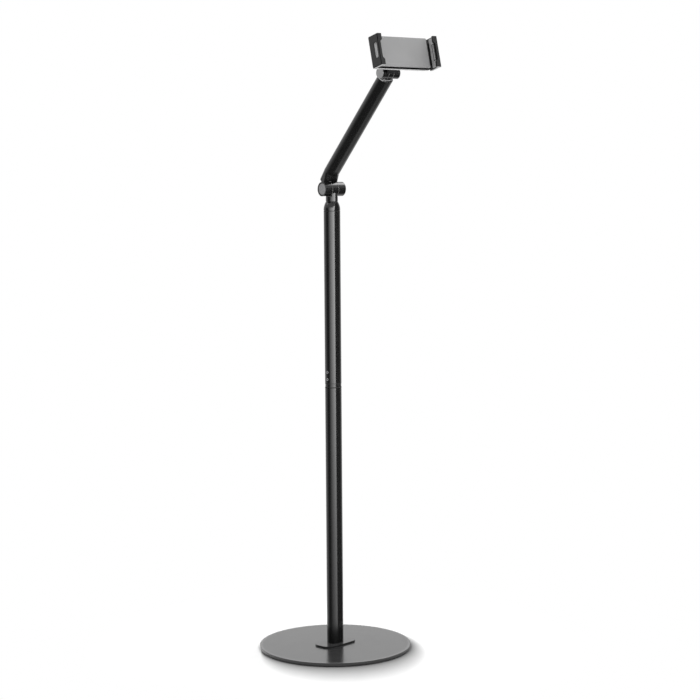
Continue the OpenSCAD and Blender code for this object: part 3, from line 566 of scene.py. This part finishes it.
# Curtain: a dark sweep round the front of the set, which only mirrored rays meet. It
# brightens to the right of the camera and draws the long streak on the pole. Low ribs on
# the floor lean in, so that the arm and the fork mirror only their dark sides.
sweep_left, sweep_right, sweep_steps = -96, 126, 37
rib_first, rib_last, rib_growth = 0.172, 2, 1.2
rib_lean, rib_rise = 0.941, 0.07
hem, wall_radius, wall_top = 0.002, 2.2, 1.5
profile = []
rib = rib_first
while rib < rib_last:
    profile += [(rib, hem), (rib_lean * rib, hem + rib_rise * rib)]
    rib *= rib_growth
profile += [(wall_radius, hem), (wall_radius, wall_top)]
rows = len(profile)
corners = []
for i in range(sweep_steps + 1):
    turn = math.radians(sweep_left + (sweep_right - sweep_left) * i / sweep_steps)
    corners += [(r * math.cos(turn), r * math.sin(turn), z) for r, z in profile]
faces = [(i * rows + k, i * rows + k + 1, (i + 1) * rows + k + 1, (i + 1) * rows + k)
         for i in range(sweep_steps) for k in range(rows - 1)]
curtain_mesh = bpy.data.meshes.new("studio_curtain")
curtain_mesh.from_pydata(corners, [], faces)
curtain = bpy.data.objects.new("studio_curtain", curtain_mesh)
bpy.context.scene.collection.objects.link(curtain)
upright = Vector((0, 0, 1))
curtain.matrix_world = Matrix((towards_camera, image_right, upright)).transposed().to_4x4()
for kind in ("camera", "diffuse", "shadow", "transmission", "volume_scatter"):
    setattr(curtain, "visible_" + kind, False)
out_of_glow = bpy.data.collections.new("out_of_glow")
for i, name in enumerate(("base_plate", "pole_foot")):
    out_of_glow.objects.link(nodes[name])
    out_of_glow.collection_objects[i].light_linking.link_state = "EXCLUDE"
curtain.light_linking.receiver_collection = out_of_glow

strip_level, edge_level, cloth_level = 9, 0.8, 0.12
strip_rise, strip_fall = (-40, 62), (66, 70)
left_edge_end, right_edge_start = -70, 100
low_share, second_mirror_share = 0.52, 0.05
low_height, near_radius, flat_range, far_range = 0.5, 0.2, (0.72, 0.88), (0.4, 1)
curtain_cloth = bpy.data.materials.new("curtain_cloth")
curtain_cloth.use_nodes = True
tree = curtain_cloth.node_tree
tree.nodes.remove(tree.nodes["Principled BSDF"])
cloth_place = surface_place(tree)
cloth_axes = tree.nodes.new("ShaderNodeSeparateXYZ")
tree.links.new(cloth_place, cloth_axes.inputs["Vector"])
turned = worked(tree, "ARCTAN2", cloth_axes.outputs["Y"], cloth_axes.outputs["X"])
from_pole = moved(tree, "LENGTH", cloth_place)
facing = tree.nodes.new("ShaderNodeSeparateXYZ")
cloth_face = tree.nodes.new("ShaderNodeNewGeometry")
tree.links.new(cloth_face.outputs["Normal"], facing.inputs["Vector"])
flatness = worked(tree, "ABSOLUTE", facing.outputs["Z"])
mirrors = tree.nodes.new("ShaderNodeLightPath").outputs["Glossy Depth"]


def by_angle(first, last, low, high):
    """A level that changes over a range of degrees to the right of the camera."""
    return ramp(tree, turned, math.radians(first), math.radians(last), low, high)


strip = worked(tree, "MULTIPLY", by_angle(*strip_rise, 0, strip_level),
               by_angle(*strip_fall, 1, 0))
for share in (ramp(tree, cloth_axes.outputs["Z"], 0, low_height, low_share, 1),
              ramp(tree, from_pole, near_radius, wall_radius, low_share, 1),
              ramp(tree, flatness, *flat_range, 1, 0),
              ramp(tree, mirrors, 1, 2, 1, second_mirror_share)):
    strip = worked(tree, "MULTIPLY", strip, share)
left_edge = by_angle(sweep_left, left_edge_end, edge_level, 0)
right_edge = worked(tree, "MULTIPLY", by_angle(right_edge_start, sweep_right, 0, edge_level),
                    ramp(tree, from_pole, *far_range))
glow = tree.nodes.new("ShaderNodeEmission")
edges = worked(tree, "ADD", left_edge, right_edge)
glow_level = worked(tree, "ADD", worked(tree, "ADD", strip, edges), cloth_level)
tree.links.new(glow_level, glow.inputs["Strength"])
tree.links.new(glow.outputs["Emission"], tree.nodes["Material Output"].inputs["Surface"])
curtain_mesh.materials.append(curtain_cloth)

# Camera: at waist height and 3.4 metres away, to the left of straight in front, and
# dipped a little, so that the stand fills the frame as in the photograph.
eye = Vector((-2.0202, -2.7017, 0.9))
dip, lean = math.radians(5.517), math.radians(-0.399)
picture_pixels, focal_pixels, sensor_width = 700, 1786.1, 36
ahead = -math.cos(dip) * towards_camera - math.sin(dip) * upright
level_up = image_right.cross(ahead)
across = image_right * math.cos(lean) + level_up * math.sin(lean)
above = level_up * math.cos(lean) - image_right * math.sin(lean)
lens = bpy.data.cameras.new("camera")
lens.sensor_width = sensor_width
lens.lens = sensor_width * focal_pixels / picture_pixels
camera = bpy.data.objects.new("camera", lens)
bpy.context.scene.collection.objects.link(camera)
looking = Matrix((across, above, -ahead)).transposed().to_4x4()
camera.matrix_world = Matrix.Translation(eye) @ looking
bpy.context.scene.camera = camera
bpy.context.scene.view_settings.view_transform = "Standard"
